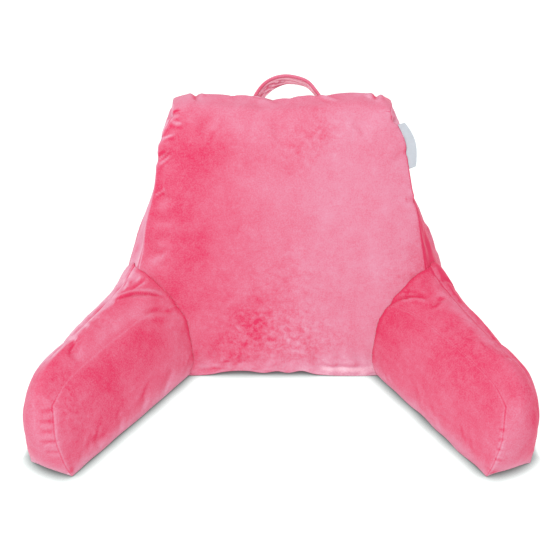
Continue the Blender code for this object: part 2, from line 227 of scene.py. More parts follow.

# Creases and, with a depth below 0, fine ridges in the cloth, each through three points on it. Its
# shade is painted shade that darkens the pile's colour in a crease, or, where it is below 0,
# lightens it, mostly as painted highlights along ridges.
FOLD = "start middle end width depth shade"
FOLDS = {}
FOLDS["backrest"] = table(
    FOLD,
    ((-172, 138, 398), (-202, 138, 376), (-206, 178, 364), 5, 2, 0),
    ((-199, 142, 365), (-184, 137, 376), (-170, 135, 386), 2, -1, -0.5),
    ((-170, 126, 364), (-206, 125, 345), (-208, 165, 336), 5, 2, 0.05),
    ((-199, 125, 344), (-189, 126, 354), (-180, 128, 364), 2, -1, -0.55),
    ((-199, 120, 337), (-188, 121, 347), (-178, 121, 355), 2, -0.9, -0.5),
    ((-208, 100, 290), (-198, 101, 297), (-188, 102, 304), 2, -0.9, -0.45),
    ((-176, 150, 404), (-168, 144, 400), (-160, 142, 402), 3, -1, -0.6),
    ((-52, 214, 406), (-33, 202, 411), (-16, 190, 414), 4, -1.5, -0.5),
    ((58, 201, 416), (72, 186, 422), (90, 172, 425), 4, -1.5, -0.4),
    ((-163, 152, 417), (-184, 158, 409), (-190, 192, 401), 4, 3.2, 0.15),
    ((-137, 176, 428), (-140, 205, 424), (-142, 232, 412), 4.5, 4.5, 0.18),
    ((-66, 208, 414), (-50, 204, 415), (-32, 203, 414), 3.5, 2, 0.1),
    ((-36, 150, 421), (-40, 190, 420), (-42, 230, 402), 12, 1.2, 0.06),
    ((150, 180, 426), (152, 198, 424), (153, 226, 412), 4.2, 4.2, 0.3),
    ((174, 152, 410), (185, 154, 402), (190, 192, 396), 4.5, 3.2, 0.12),
    ((196, 129, 361), (205, 130, 355), (208, 164, 346), 5, 1.4, 0),
    ((200, 96, 288), (219, 100, 282), (222, 132, 276), 5, 2.5, 0.1),
    ((-146, 6, 7), (-122, 1, 9), (-98, 4, 16), 4.5, 3, 0.3),
    ((60, 4, 17), (100, 2, 14), (142, 6, 12), 5, 3, -0.3),
)
FOLDS["arm_left"] = table(
    FOLD,
    ((-188, 31, 136), (-230, 14, 160), (-268, 0, 160), 3, 3.5, 0.38),
    ((-188, 33, 141), (-229, 17, 165), (-264, 4, 166), 4, -2, -0.25),
    ((-176, 20, 115), (-199, 4, 130), (-224, -16, 139), 5, 2, 0.15),
    ((-222, 48, 160), (-232, 34, 164), (-246, 22, 164), 3.4, 1.8, 0.2),
    ((-190, 12, 100), (-214, -14, 118), (-236, -40, 126), 7, 1.2, 0.08),
    ((-363, -235, 118), (-353, -232, 119), (-343, -226, 116), 3, 1, 0.22),
    ((-366, -243, 105), (-353, -242, 106), (-342, -237, 103), 3, 1.2, 0.25),
    ((-365, -250, 91), (-352, -250, 93), (-340, -246, 90), 3, 1, 0.22),
    ((-363, -254, 75), (-351, -256, 78), (-338, -252, 75), 3, 1.2, 0.25),
    ((-358, -256, 58), (-346, -258, 60), (-335, -256, 58), 3, 1, 0.2),
    ((-276, -180, 26), (-288, -197, 32), (-300, -214, 42), 7, 1.5, 0.08),
)
FOLDS["arm_right"] = table(
    FOLD,
    ((171, 32, 116), (203, 22, 148), (236, 4, 162), 3.4, 3, 0.35),
    ((171, 32, 112), (203, 18, 142), (236, -2, 156), 3.4, -1.5, -0.25),
    ((325, -242, 90), (330, -246, 94), (336, -249, 94), 2.6, 1, 0.35),
    ((324, -249, 76), (330, -254, 81), (334, -256, 80), 2.6, 1, 0.35),
    ((323, -254, 61), (328, -258, 64), (334, -259, 63), 2.6, 1, 0.35),
    ((321, -257, 45), (327, -259, 45), (333, -258, 42), 2.6, 1, 0.35),
    ((236, -13, 157), (250, -6, 163), (268, 4, 163), 4, 3, 0.3),
    ((196, 36, 146), (211, 24, 155), (228, 14, 161), 3, 1.8, 0.22),
    ((200, 14, 146), (202, 26, 152), (206, 36, 156), 3, 1.5, 0.25),
)
FOLD_STEPS = 24
LINE_TURNS = 8
RIDGE = 0.3

# The filling presses the cloth out between the seams, which hold it in
PRESS_FRAMES = 20
PRESS_QUALITY = 6
PRESSURE = 1.6
CLOTH_MASS = 0.3
CLOTH_STRETCH = 15.0
CLOTH_BEND = 0.5
BACKREST_GATHERED = 0.024  # how much longer the cloth beside a seam is than the seam
ARM_GATHERED = 0.009
GATHERED_FROM_TO = (1.5, 7.0)  # millimetres from the seam
GATHER_FADES = (24.0, 60.0)
CLOTH_EASE = 0.003  # how much longer it is further away
SWELL_SIZE = 55.0  # the skins already have the swell of whole panels, so it is taken off again
SWELL_FROM = 22.0
SEAM_DRAWN = 0.5
SWELL_STEP = 7
MOST_MOVED = 9.0
MOST_AT_CORNERS = 3.0
CORNER_SIZE = 30.0

# Carry handle: a strap with a rolled front hem, whose loop leans back
HANDLE_BASE = (8.0, 207.0, 401.0)
HANDLE_LEAN = math.radians(55.0)
HANDLE_TURN = math.radians(-8.0)
HANDLE_LINE = table(
    "along rise twist",
    (-54, -8, 18),
    (-53, 5, 20),
    (-48.5, 17, 25),
    (-36, 34.5, 27),
    (-20, 44, 20),
    (-8, 46.8, 13),
    (10, 45.8, 6),
    (31, 38.4, 2),
    (43.5, 25.5, 0),
    (53, 13, 0),
    (58, 0, 0),
    (59, -8, 0),
)
HANDLE_STEPS = 150
STRAP_WIDTH = 24.0
STRAP_THICKNESS = 3.2
HEM_RADIUS = 2.7
HEM_PLACE = 9.2  # middle of the rolled hem, from the strap's middle towards the front
STRAP_SIDES = 56
STRAP_CROWDING = 0.8  # its points crowd towards both edges
STRAP_SQUARENESS = 8
CREASE_HEIGHT = 1.1
CREASE_LENGTH = 26.0
CREASE_WIDTH = 4.5
CREASE_SLANT = 0.12
CREASE_SHARPNESS = 3.0
CREASE_ENDS = 3.0  # they rise over this width beside the hem
CREASE_SIDES_APART = 9.0  # so that the strap's two sides have other creases
CREASE_SEED = 11
OUTER_CREASES = 0.4  # how high they are on the outer side
WEB_TONE_AND_PAINTED_LIGHT = (0.60, 2.3)  # the web's tone, raised by painted light that lifts it out of its shade, from the viewer's left to right
WEB_TONE_AND_PAINTED_LIGHT_FROM_TO = (-35.0, 25.0)
HEM_NAP = (0.62, 0.50)  # from the top of the loop to its ends
HEM_NAP_FROM_TO = (20.0, 50.0)
# painted highlight on the ridges of the strap's creases
CREASE_PAINTED_HIGHLIGHT = 1.6
# painted highlight in a line along the rolled hem's edge
HEM_LINE_PAINTED_HIGHLIGHT = 1.2
HEM_LINE_PLACE = 0.6
HEM_LINE_WIDTH = 0.9

# Side tag: a ribbon folded double, whose two ends are sewn into the side seam
TAG_HEIGHTS = (329.0, 396.0)
TAG_REACH = 7.5
TAG_BULGE = 4.5
TAG_BULGE_SKEW = 0.8  # below 1 the widest place lies lower
TAG_SEWN_IN = 8.0
TAG_BEHIND = 2.0
TAG_CURL = 4.0
TAG_RAISED = 3.0
TAG_WAVE = 0.8
TAG_WAVES = 3.4
TAG_OPENS = 0.8  # how much further apart the two layers are at the seam, as a share
TAG_ROUND = (0.06, 0.03)  # how far the fold goes past them, outside and inside
TAG_BENDS = 8
TAG_FOLD = 1.5  # across the fold, from outside to outside
RIBBON_THICKNESS = 0.45
TAG_GRID = (48, 24)

# Camera, as far from the front panel's foot as the photograph was taken
CAMERA_PLACE = (-11.7, -2008.8, 1612.6)
CAMERA_DOWN = math.radians(35.0)
CAMERA_LENS = 100.67
CAMERA_SENSOR = 36.0

# Stage, in metres
WHITE = (1.0, 1.0, 1.0, 1.0)
FLOOR_SIZE = 12.0
FLOOR_TINT = (0.14, 0.21, 0.19, 1.0)
CONTACT_SHADE = 0.022  # the white floor darkens only this close to what stands on it
CONTACT_DARKNESS = 3.2
SHADE_TOWARDS = (0.0, -0.65, 0.76)  # it darkens less in front of a piece than beside it
STUDIO_LIGHT = 0.95
KEY_PLACE = (-0.7, -1.2, 2.4)
KEY_AIM = (0.0, 0.0, 0.15)
KEY_SIZE = 0.9
KEY_POWER = 20.0


def in_frame(points):
    """Millimetres from the front panel's foot, as metres in the frame."""
    return (np.asarray(points, float) - np.array([*FOOTPRINT_MIDDLE, 0.0])) * MM


def column(rows, name):
    """One named column of a table."""
    return np.array([getattr(row, name) for row in rows], float)


def smooth_line(x, xs, ys):
    """A smooth line through the points (xs, ys), read at x."""
    slopes = np.gradient(ys, xs)
    i = np.clip(np.searchsorted(xs, x) - 1, 0, len(xs) - 2)
    step = xs[i + 1] - xs[i]
    t = np.clip((x - xs[i]) / step, 0, 1)
    rise = t * t * (3 - 2 * t)
    start = t * (1 - t) ** 2 * slopes[i] * step
    end = t * t * (1 - t) * slopes[i + 1] * step
    return ys[i] * (1 - rise) + ys[i + 1] * rise + start - end


def read(rows, name, x):
    """A table's named column at x, as a smooth line over its first column."""
    return smooth_line(x, column(rows, rows[0]._fields[0]), column(rows, name))


def blend(first, second, share):
    return first * (1 - share) + second * share


def ease(low, high, x):
    """0 below low and 1 above high, with a smooth rise between them."""
    t = np.clip((x - low) / (high - low), 0, 1)
    return t * t * (3 - 2 * t)


def plump(share, fullness=PANEL_FULLNESS, softness=PANEL_SOFTNESS):
    """Height of a filled panel across its width: 0 at both seams, 1 along the middle."""
    return np.clip(1 - np.abs(2 * share - 1) ** fullness, 0, 1) ** softness


def crowded(count, amount):
    """Shares from 0 to 1 that lie closer together near both ends."""
    even = np.linspace(0, 1, count + 1)
    return blend(even, (1 - np.cos(math.pi * even)) / 2, amount)


def shell_numbers(counts):
    """The number of each point on the outside of a box grid, and -1 inside it."""
    number = -np.ones([count + 1 for count in counts], int)
    shell = np.ones_like(number, bool)
    shell[1:-1, 1:-1, 1:-1] = False
    number[shell] = np.arange(shell.sum())
    return number


def six_panels(counts):
    """The grid points on the faces of a unit cube, and the quads between them, facing out."""
    lines = [crowded(count, SEAM_CROWDING) for count in counts]
    number = shell_numbers(counts)
    quads = []
    for axis in range(3):
        for level in (0, counts[axis]):
            sheet = np.take(number, level, axis)
            if axis == 1:
                sheet = sheet.T
            corners = [sheet[:-1, :-1], sheet[1:, :-1], sheet[1:, 1:], sheet[:-1, 1:]]
            if not level:
                corners.reverse()
            quads.append(np.stack([corner.ravel() for corner in corners], 1))
    places = np.argwhere(number >= 0)
    return [lines[k][places[:, k]] for k in range(3)], np.concatenate(quads)


def corner_normals(points, quads):
    """Unit outward directions at the points of a closed skin."""
    across = points[quads[:, 2]] - points[quads[:, 0]]
    along = points[quads[:, 3]] - points[quads[:, 1]]
    facing = np.cross(across, along)
    normals = np.zeros_like(points)
    for k in range(4):
        np.add.at(normals, quads[:, k], facing)
    return normals / np.linalg.norm(normals, axis=1, keepdims=True)


def base_height(rise, distance, roll):
    """Height of a base panel at a distance in from its seam: rolled at the rim and flat inside."""
    return rise * np.clip(1 - distance / roll, 0, 1)


def backrest_points(a, b, c):
    """Backrest skin: a runs from the viewer's left to right, b from front to back, c upwards."""
    half = blend(read(BACKREST_OUTLINE, "front", c), read(BACKREST_OUTLINE, "back", c), b)
    settled = b * read(BACKREST_SETTLED, "right", c)
    face_y = FACE_HEIGHT * c * math.tan(FACE_LEAN)
    back_y = blend(BASE_DEPTH, TOP_BACK_DEPTH, c)
    x = half * (2 * a - 1) + settled
    y = blend(face_y, back_y, b)
    corner = np.abs(2 * a - 1) ** CORNER_REACH * np.abs(2 * b - 1) ** CORNER_REACH
    hem = read(BACKREST_HEM, "rise", x)
    rise = blend(hem, BACKREST_SEAM_RISE, ease(0, HEM_WAVES_END, b)) + CORNER_LIFT * corner
    z = blend(FACE_HEIGHT, BACK_HEIGHT, b) * c + rise * (1 - c)

    front_swell = np.where(b == 0, FRONT_CROWN * plump(a) * plump(c), 0)
    back_swell = np.where(b == 1, BACK_CROWN * plump(a) * plump(c), 0)
    side_out = read(BACKREST_OUTLINE, "swell", c)
    side_swell = np.where((a == 0) | (a == 1), side_out * plump(b), 0)
    top_swell = np.where(c == 1, read(BACKREST_TOP, "swell", a) * plump(b), 0)
    x = x + side_swell * np.sign(a - 0.5)
    y = y - front_swell * math.cos(FACE_LEAN) + back_swell
    y = y + top_swell * math.sin(FACE_LEAN)
    z = z + front_swell * math.sin(FACE_LEAN) + top_swell * math.cos(FACE_LEAN)

    inward = np.minimum.reduce([half - np.abs(x - settled), y, BASE_DEPTH - y])
    z = np.where(c == 0, base_height(rise, inward, BASE_ROLL + CORNER_DRAW * corner), z)
    drawn = CORNER_DRAW * corner * (1 - c) ** 2
    x = x - drawn * np.sign(a - 0.5)
    y = y - drawn * np.sign(b - 0.5)
    return np.stack([x, y, z], 1)


def d_panel(a, c, side):
    """Length and height of the points of a D-shaped arm panel, which rounds over at the front."""
    front = column(ARM_FRONT_SEAMS, side + "_along")
    up = column(ARM_FRONT_SEAMS, "up")
    low, high = up[0], up[-1]
    top_along = blend(-ARM_HIDDEN, front[-1], a)
    top_up = read(ARM_TOP_SEAMS, side + "_up", top_along)
    front_up = blend(low, high, c)
    front_along = read(ARM_FRONT_SEAMS, side + "_along", front_up)
    base_along = blend(-ARM_HIDDEN, front[0], a)
    root_top = read(ARM_TOP_SEAMS, side + "_up", -ARM_HIDDEN)
    corner_top = column(ARM_TOP_SEAMS, side + "_up")[-1]
    along = (
        blend(base_along, top_along, c)
        + blend(-ARM_HIDDEN, front_along, a)
        - blend(-ARM_HIDDEN, blend(front[0], front[-1], c), a)
    )
    height = (
        blend(low, top_up, c)
        + blend(blend(low, root_top, c), front_up, a)
        - blend(blend(low, root_top, c), blend(low, corner_top, c), a)
    )
    return along, height


def arm_points(a, b, c, arm):
    """Arm skin: a runs from root to front, b from inner to outer side, c upwards."""
    inner_along, inner_up = d_panel(a, c, "inner")
    outer_along, outer_up = d_panel(a, c, "outer")
    reach = np.clip(inner_up / INNER_SWELL_UP, 0, 1)
    inner_out = INNER_SWELL_OUT * (1 - np.sqrt(1 - reach * reach))
    outer_top = read(ARM_TOP_SEAMS, "outer_out", outer_along)
    outer_base = read(ARM_BASE_SEAM, "outer_out", outer_along)
    outer_front = read(ARM_FRONT_SEAMS, "outer_out", outer_up)
    outer_out = blend(blend(outer_base, outer_top, c), outer_front, a**FRONT_SEAM_REACH)
    outer_out = outer_out + arm.nose_out * ease(*NOSE_OUT_FROM_TO, outer_along)

    along = blend(inner_along, outer_along, b)
    out = blend(inner_out, outer_out, b)
    height = blend(inner_up, outer_up, b)

    back_from_nose = np.clip((NOSE_TIP - along) / NOSE_BEND, 0, 1)
    tilt = np.where(c == 1, 1 + back_from_nose, c) * math.pi / 4
    strip = (a == 1) | (c == 1)
    swell = np.where(strip, ARM_STRIP_CROWN * plump(b, STRIP_FULLNESS, STRIP_SOFTNESS), 0)
    swell = np.where((a == 1) & (c < 1), swell * plump(c / 2), swell)
    along = along + swell * np.cos(tilt)
    height = height + swell * np.sin(tilt)

    panel = plump(c) * plump(0.5 + a / 2)
    out = out + np.where(b == 1, arm.outer_crown * panel, 0)
    out = out - np.where(b == 0, ARM_INNER_CROWN * panel, 0)
    out = out + arm.roll * height

    base_front = column(ARM_FRONT_SEAMS, "inner_along")[0]
    inward = np.minimum.reduce([out, outer_base - out, base_front - along])
    height = np.where(c == 0, base_height(ARM_SEAM_RISE, inward, ARM_BASE_ROLL), height)

    along = along + arm.shift
    splay = math.radians(arm.splay)
    x = arm.root_x + along * math.sin(splay) + out * math.cos(splay)
    y = -along * math.cos(splay) + out * math.sin(splay)
    return np.stack([arm.side * x, y, height], 1)


def uneven(points, size, seed):
    """Smooth noise from -1 to 1 at the points, with bumps of about that size."""
    shift = Vector((seed * 7.3, seed * 3.1, seed * 5.7))
    return np.array([noise.noise(Vector(point) / size + shift) for point in points])


def broad(points, facing, values):
    """The values averaged over SWELL_SIZE around each point, among points that face its way."""
    result = np.empty_like(values)
    some = slice(None, None, SWELL_STEP)
    for i in range(0, len(points), 1000):
        part = slice(i, i + 1000)
        away = np.linalg.norm(points[part, None] - points[None, some], axis=2)
        alike = np.clip(facing[part] @ facing[some].T, 1e-3, 1)
        weight = np.exp(-((away / SWELL_SIZE) ** 2)) * alike
        result[part] = weight @ values[some] / weight.sum(axis=1, keepdims=True)
    return result


def near_patches(points, patches):
    """The patches' amounts at the points, each fading out over its reach."""
    total = np.zeros(len(points))
    for patch in patches:
        away = np.linalg.norm(points - np.array(patch.place), axis=1) / patch.reach
        total += patch.amount * np.exp(-(away**2))
    return total


def pressed_out(name, points, quads, abc, distance, gather):
    """Cloth over the points with the filling's pressure behind it. Gives each point's move."""
    thing = new_piece("cloth", points, quads)
    held = thing.vertex_groups.new(name="held")
    held.add(np.flatnonzero(points[:, 2] < LIFT_START).tolist(), 1.0, "REPLACE")
    longer = ease(*GATHERED_FROM_TO, distance)
    longer *= blend(1, CLOTH_EASE / gather, ease(*GATHER_FADES, distance))
    gathered = thing.vertex_groups.new(name="gathered")
    for i, share in enumerate(longer):
        gathered.add([i], float(1 - share), "REPLACE")
    cloth = thing.modifiers.new("cloth", "CLOTH")
    cloth.collision_settings.use_collision = False
    settings = cloth.settings
    settings.quality = PRESS_QUALITY
    settings.mass = CLOTH_MASS
    settings.tension_stiffness = CLOTH_STRETCH
    settings.compression_stiffness = CLOTH_STRETCH
    settings.shear_stiffness = CLOTH_STRETCH / 2
    settings.bending_stiffness = CLOTH_BEND
    settings.use_pressure = True
    settings.uniform_pressure_force = PRESSURE
    settings.effector_weights.gravity = 0
    settings.vertex_group_mass = "held"
    settings.vertex_group_shrink = "gathered"
    settings.shrink_min = -gather
    settings.shrink_max = 0.0
    scene = bpy.context.scene
    for frame in range(1, PRESS_FRAMES + 1):
        scene.frame_set(frame)
    shape = thing.evaluated_get(bpy.context.evaluated_depsgraph_get()).data
    moved = np.empty(3 * len(points), np.float32)
    shape.vertices.foreach_get("co", moved)
    moved = (moved.reshape(-1, 3) - in_frame(points)) / MM
    bpy.data.objects.remove(thing)
    scene.frame_set(1)
    far = np.linalg.norm(moved, axis=1)
    at_corner = np.all([(share == 0) | (share == 1) for share in abc], axis=0)
    corners = np.linalg.norm(points[:, None] - points[None, at_corner], axis=2).min(axis=1)
    most = blend(MOST_AT_CORNERS, MOST_MOVED, ease(0, CORNER_SIZE, corners))
    moved *= (most * np.tanh(far / most) / np.maximum(far, 1e-9))[:, None]
    panel = ease(0, SWELL_FROM, distance)[:, None]
    facing = corner_normals(points, quads)
    moved = moved * blend(SEAM_DRAWN, 1, panel) - panel * broad(points, facing, moved)
    return moved * (1 - near_patches(points, CALM_PATCHES.get(name, ())))[:, None]


def halved(sheet):
    """Values on a panel's grid, with smooth values halfway between each two."""
    for _ in range(2):
        padded = np.concatenate([2 * sheet[:1] - sheet[1:2], sheet, 2 * sheet[-1:] - sheet[-2:-1]])
        halfway = (9 * (padded[1:-2] + padded[2:-1]) - padded[:-3] - padded[3:]) / 16
        full = np.empty((2 * len(sheet) - 1, *sheet.shape[1:]))
        full[::2] = sheet
        full[1::2] = halfway
        sheet = full.swapaxes(0, 1)
    return sheet


def on_finer_grid(counts, values):
    """Values at the points of a box grid, taken over to the grid with twice the lines."""
    coarse = shell_numbers(counts)
    fine = shell_numbers([2 * count for count in counts])
    result = np.empty((fine.max() + 1, *values.shape[1:]))
    for axis in range(3):
        for end in (0, -1):
            sheet = values[np.take(coarse, end, axis)]
            result[np.take(fine, end, axis)] = halved(sheet)
    return result


def seam_samples(points, abc, seams):
    """Points along some edges of the unit cube, a third of a grid step apart."""
    samples = []
    for axis, first, second in sorted(seams):
        one, two = (axis + 1) % 3, (axis + 2) % 3
        on_edge = np.flatnonzero((abc[one] == first) & (abc[two] == second))
        line = points[on_edge[np.argsort(abc[axis][on_edge])]]
        samples += [blend(line[:-1], line[1:], share) for share in (0, 1 / 3, 2 / 3)]
    return np.concatenate(samples)


def nearest(samples, points):
    """Distance from each point to the samples, and the sample that is nearest to it."""
    tree = KDTree(len(samples))
    for i, sample in enumerate(samples):
        tree.insert(sample, i)
    tree.balance()
    found = [tree.find(point) for point in points]
    return np.array([hit[2] for hit in found]), samples[[hit[1] for hit in found]]


def crease_depth(points, fold):
    """How deep a fold presses each point: a trough with a low ridge on both sides."""
    t = np.linspace(0, 1, FOLD_STEPS + 1)[:, None]
    start, middle, end = (np.array(where, float) for where in (fold.start, fold.middle, fold.end))
    bend = 2 * middle - (start + end) / 2
    line = start * (1 - t) ** 2 + bend * 2 * t * (1 - t) + end * t**2
    line = nearest(points, line)[1]  # onto the cloth, wherever the filling has pressed it
    for _ in range(LINE_TURNS):
        line[1:-1] = (line[:-2] + 2 * line[1:-1] + line[2:]) / 4
    depth = np.zeros(len(points))
    reach = np.linalg.norm(end - start) + 4 * fold.width
    close = np.flatnonzero(np.linalg.norm(points - middle, axis=1) < reach)
    away = np.linalg.norm(points[close, None] - line[None], axis=2)
    near = away.min(axis=1) / fold.width
    fade = 1 - (2 * t[away.argmin(axis=1), 0] - 1) ** 4
    trough = np.exp(-(near**2)) - RIDGE * np.exp(-((near - 2) ** 2))
    depth[close] = fold.depth * fade * trough
    return depth


def dressed(name, points, quads, abc, plain, seed):
    """The skin with its seams, puckers, lumps and creases, and each point's distance to a seam."""
    facing = corner_normals(points, quads)
    lifted = ease(LIFT_START, LIFT_END, points[:, 2])
    distance, sewn_at = nearest(seam_samples(points, abc, EDGES - plain - FAINT_SEAMS), points)
    hidden, _ = nearest(seam_samples(points, abc, FAINT_SEAMS), points)
    seam = np.minimum(distance, hidden + FAINT_AWAY[name] * ease(0, FAINT_FROM, distance))

    groove = SEAM_DEPTHS[name] * np.exp(-((seam / SEAM_WIDTH) ** 2))
    slanted = sewn_at + PUCKER_SLANT * (points - sewn_at)
    gathered = 1 - np.abs(uneven(slanted, PUCKER_PITCH, seed)) * PUCKER_SHARPNESS
    some = ease(*PUCKER_GROUPS_FROM_TO, uneven(sewn_at, PUCKER_GROUPS, seed + 1))
    pucker = PUCKER_DEPTH * gathered * blend(PUCKER_LEAST, 1, some)
    pucker *= np.exp(-distance / PUCKER_LENGTH) * (1 - np.exp(-distance / PUCKER_START))
    inside = 1 - np.exp(-distance / LUMPS_FROM)
    lumps = LUMP_HEIGHT * uneven(points, LUMP_SIZE, seed + 2)
    lumps += DENT_HEIGHT * uneven(points, DENT_SIZE, seed + 3)
    out = pucker - groove + lumps * inside
    for fold in FOLDS[name]:
        out -= crease_depth(points, fold)
    moved = points + facing * (out * lifted)[:, None]
    low = np.exp(-((distance / HEM_REACH) ** 2)) * ease(LIFT_END, LIFT_START, points[:, 2])
    moved[:, 2] += HEM_LIFTS[name] * uneven(sewn_at * (1, 1, 0), HEM_WAVE, seed + 4) * low
    moved[:, 2] = np.maximum(moved[:, 2], 0)
    return moved, seam


def new_piece(name, points, faces, **attributes):
    """A smooth mesh object in the frame, with one value at each point for every attribute."""
    mesh = bpy.data.meshes.new(name)
    mesh.from_pydata(in_frame(points).tolist(), [], np.asarray(faces, object).tolist())
    for key, values in attributes.items():
        mesh.attributes.new(key, "FLOAT", "POINT").data.foreach_set(
            "value", np.asarray(values, np.float32)
        )
    mesh.shade_smooth()
    thing = bpy.data.objects.new(name, mesh)
    bpy.context.scene.collection.objects.link(thing)
    return thing


def as_part(thing, node, material):
    """thing stands for a CAD node, rides on the one body and wears the material."""
    thing.data.materials.clear()
    thing.data.materials.append(material)
    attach(thing, "root")
    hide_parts(node)


def cut_away(thing, cutter):
    """Cuts the cutter's volume away from thing for good."""
    cut = thing.modifiers.new("cut", "BOOLEAN")
    cut.operation = "DIFFERENCE"
    cut.solver = "MANIFOLD"
    cut.object = cutter
    graph = bpy.context.evaluated_depsgraph_get()
    mesh = bpy.data.meshes.new_from_object(thing.evaluated_get(graph), depsgraph=graph)
    thing.modifiers.clear()
    thing.data = mesh


# --- velvet ---

# Soft patches where the pile's colour is darker (below 0) or lighter (above 0): mostly its uneven
# tone, but on the backrest's sides they add painted light on the left and painted shade on the
# right
TONE_AND_LIGHT_PATCHES = {}
TONE_AND_LIGHT_PATCHES["backrest"] = table(
    PATCH,
    ((-137, 121, 364), 55, -0.12), ((-183, 102, 304), 45, -0.08), ((-45, 19, 98), 34, -0.3),
    ((-86, 5, 51), 30, -0.1), ((66, 134, 394), 26, -0.22), ((30, 140, 402), 30, -0.2),
    ((-252, 60, 190), 26, 0.3), ((244, 98, 184), 40, -0.4), ((19, 128, 382), 26, -0.12),
    ((22, 110, 342), 24, -0.1), ((111, 90, 291), 60, 0.04), ((-140, 14, 82), 46, 0.16),
    ((-183, 30, 120), 30, -0.1),
)
TONE_AND_LIGHT_PATCHES["arm_left"] = table(
    PATCH,
    ((-275, -137, 110), 50, -0.14), ((-237, -70, 120), 34, -0.12), ((-183, 4, 114), 22, 0.12),
    ((-323, -250, 14), 7, -0.6), ((-329, -252, 8), 4, 0.8), ((-341, -250, 50), 34, -0.12),
    ((-205, -43, 101), 34, -0.16), ((-337, -184, 142), 30, -0.1), ((-286, -190, 35), 26, -0.14),
    ((-216, -20, 132), 18, 0.16), ((-174, -29, 46), 30, 0.12), ((-341, -258, 66), 28, 0.18),
)
TONE_AND_LIGHT_PATCHES["arm_right"] = table(
    PATCH,
    ((322, -252, 14), 9, -0.7), ((330, -252, 8), 4, 0.7), ((173, 4, 99), 34, -0.18),
    ((285, -105, 149), 28, -0.16), ((312, -159, 142), 22, -0.12), ((385, -202, 102), 30, -0.14),
    ((223, -64, 111), 30, 0.1), ((309, -226, 80), 34, 0.12),
)
# Where the pile is crushed into dark specks
CRUSHED_ALL_OVER = 0.10
CRUSHED_PATCHES = {}
CRUSHED_PATCHES["backrest"] = table(
    PATCH,
    ((-45, 19, 90), 46, 0.5), ((-86, 8, 46), 34, 0.45), ((10, 12, 70), 46, 0.4),
    ((60, 12, 60), 50, 0.35), ((20, 40, 150), 60, 0.2), ((66, 134, 394), 30, 0.35),
    ((22, 120, 365), 34, 0.25), ((190, 60, 160), 40, 0.25),
)
CRUSHED_PATCHES["arm_left"] = table(PATCH, ((-330, -200, 120), 40, 0.25))
CRUSHED_PATCHES["arm_right"] = table(PATCH, ((285, -105, 130), 50, 0.15))
# How light the pile's colour is on each side of a cushion: one value, or two at the ends of a
# smooth step.
# On the backrest the top and the left side carry painted light and the right side painted shade;
# the face's step from left to right is the pile's own tone.
# A ..._FROM_TO gives the places, shares or directions over which a step runs.
FACE_NAP = (0.27, 0.79)  # from the viewer's left to right
FACE_NAP_FROM_TO = (-190.0, 110.0)
BACK_NAP = 0.45
BACK_FROM_TO = (0.3, 0.8)
TOP_PAINTED_LIGHT = 0.62
TOP_FROM_TO = (0.55, 0.95)
LEFT_SIDE_PAINTED_LIGHT = (0.62, 1.10)  # from its back to its front
LEFT_SIDE_FROM_TO = (0.45, 0.95)
RIGHT_SIDE_PAINTED_SHADE = (0.30, -0.25)
RIGHT_SIDE_FROM_TO = (0.30, 0.85)
RIGHT_SIDE_FALLS = (380.0, 310.0)  # above here the right side's front is as light as the top
SIDE_FRONT_FROM_TO = (0.7, 0.1)
FOOT_PAINTED_BOUNCE = 0.22  # painted bounce light from the floor, added towards it
FOOT_PAINTED_BOUNCE_FROM_TO = (60.0, 15.0)
# Each arm's pile: the inner side's tone, the top strip, the nose, and the outer side, which carries
# painted light on the left arm and painted shade on the right arm.
ArmToneAndLight = namedtuple("ArmToneAndLight", "inner strip nose outer turns")
ARM_TONES_AND_LIGHT = {  # turns is how far out the surface faces where the painted light of the left arm's outer side, and the painted shade of the right arm's, begin
    "arm_left": ArmToneAndLight(0.34, 0.38, 0.54, 1.20, 0.05),
    "arm_right": ArmToneAndLight(0.31, 0.28, 0.58, -0.25, 0.35),
}
ARM_STRIP_FROM_TO = (0.35, 0.95)
ARM_NOSE_FROM_TO = (0.45, 0.95)
OUTER_TURN = 0.4
OUTER_SHARE = 0.15  # how much of the outer side's painted light and shade shows away from the top seam
OUTER_FROM_TO = (50.0, 130.0)
OUTER_ENDS = (-190.0, -130.0)  # it fades out in front of here
# painted bounce light from the floor, added towards it
ARM_FOOT_PAINTED_BOUNCE = 0.42
ARM_FOOT_PAINTED_BOUNCE_FROM_TO = (44.0, 6.0)
# painted light and shade on wrinkles, by how far each turns towards LIGHT_FROM
PAINTED_RELIEF_LIGHT = 0.8
LIGHT_FROM = (-0.5, -0.2, 0.84)

# How much each kind of spot, and a seam, lightens the pile or darkens it
BLOTCHED = 0.5
STREAKED = 0.4
SPECKLED = 2.6
SPECK_MIDDLE = 0.52
GRAINED = 0.7
SEAM_DARKENS = 0.25
SEAM_LINE = (0.2, 1.6)  # millimetres from the seam
BESIDE_LIGHTENS = 0.13
BESIDE_RISES = (1.0, 2.2)
BESIDE_FALLS = (4.6, 2.4)
DARK_PILE = (0.70, 0.038, 0.115, 1.0)
LIGHT_PILE = (0.73, 0.290, 0.405, 1.0)
# reached only where painted light lifts the colour past LIGHT_PILE: the lit left sides, highlights
# on ridges and creases, and the strap's web
PALE_PILE = (0.97, 0.700, 0.780, 1.0)
SHEEN_TINT = (1.0, 0.62, 0.72, 1.0)
DARK_RIBBON = (0.47, 0.50, 0.54, 1.0)
LIGHT_RIBBON = (0.57, 0.60, 0.66, 1.0)


def nap_of(name, points, start, facing, smooth):
    """How light the pile's colour is: start, its patches, and painted light and shade on creases,
    ridges and wrinkles.
    """
    nap = start + PAINTED_RELIEF_LIGHT * (facing - smooth) @ np.array(LIGHT_FROM)
    # painted shade in the creases and painted highlights along the ridges
    for fold in FOLDS[name]:
        nap -= fold.shade * crease_depth(points, fold) / fold.depth
    return nap + near_patches(points, TONE_AND_LIGHT_PATCHES[name])


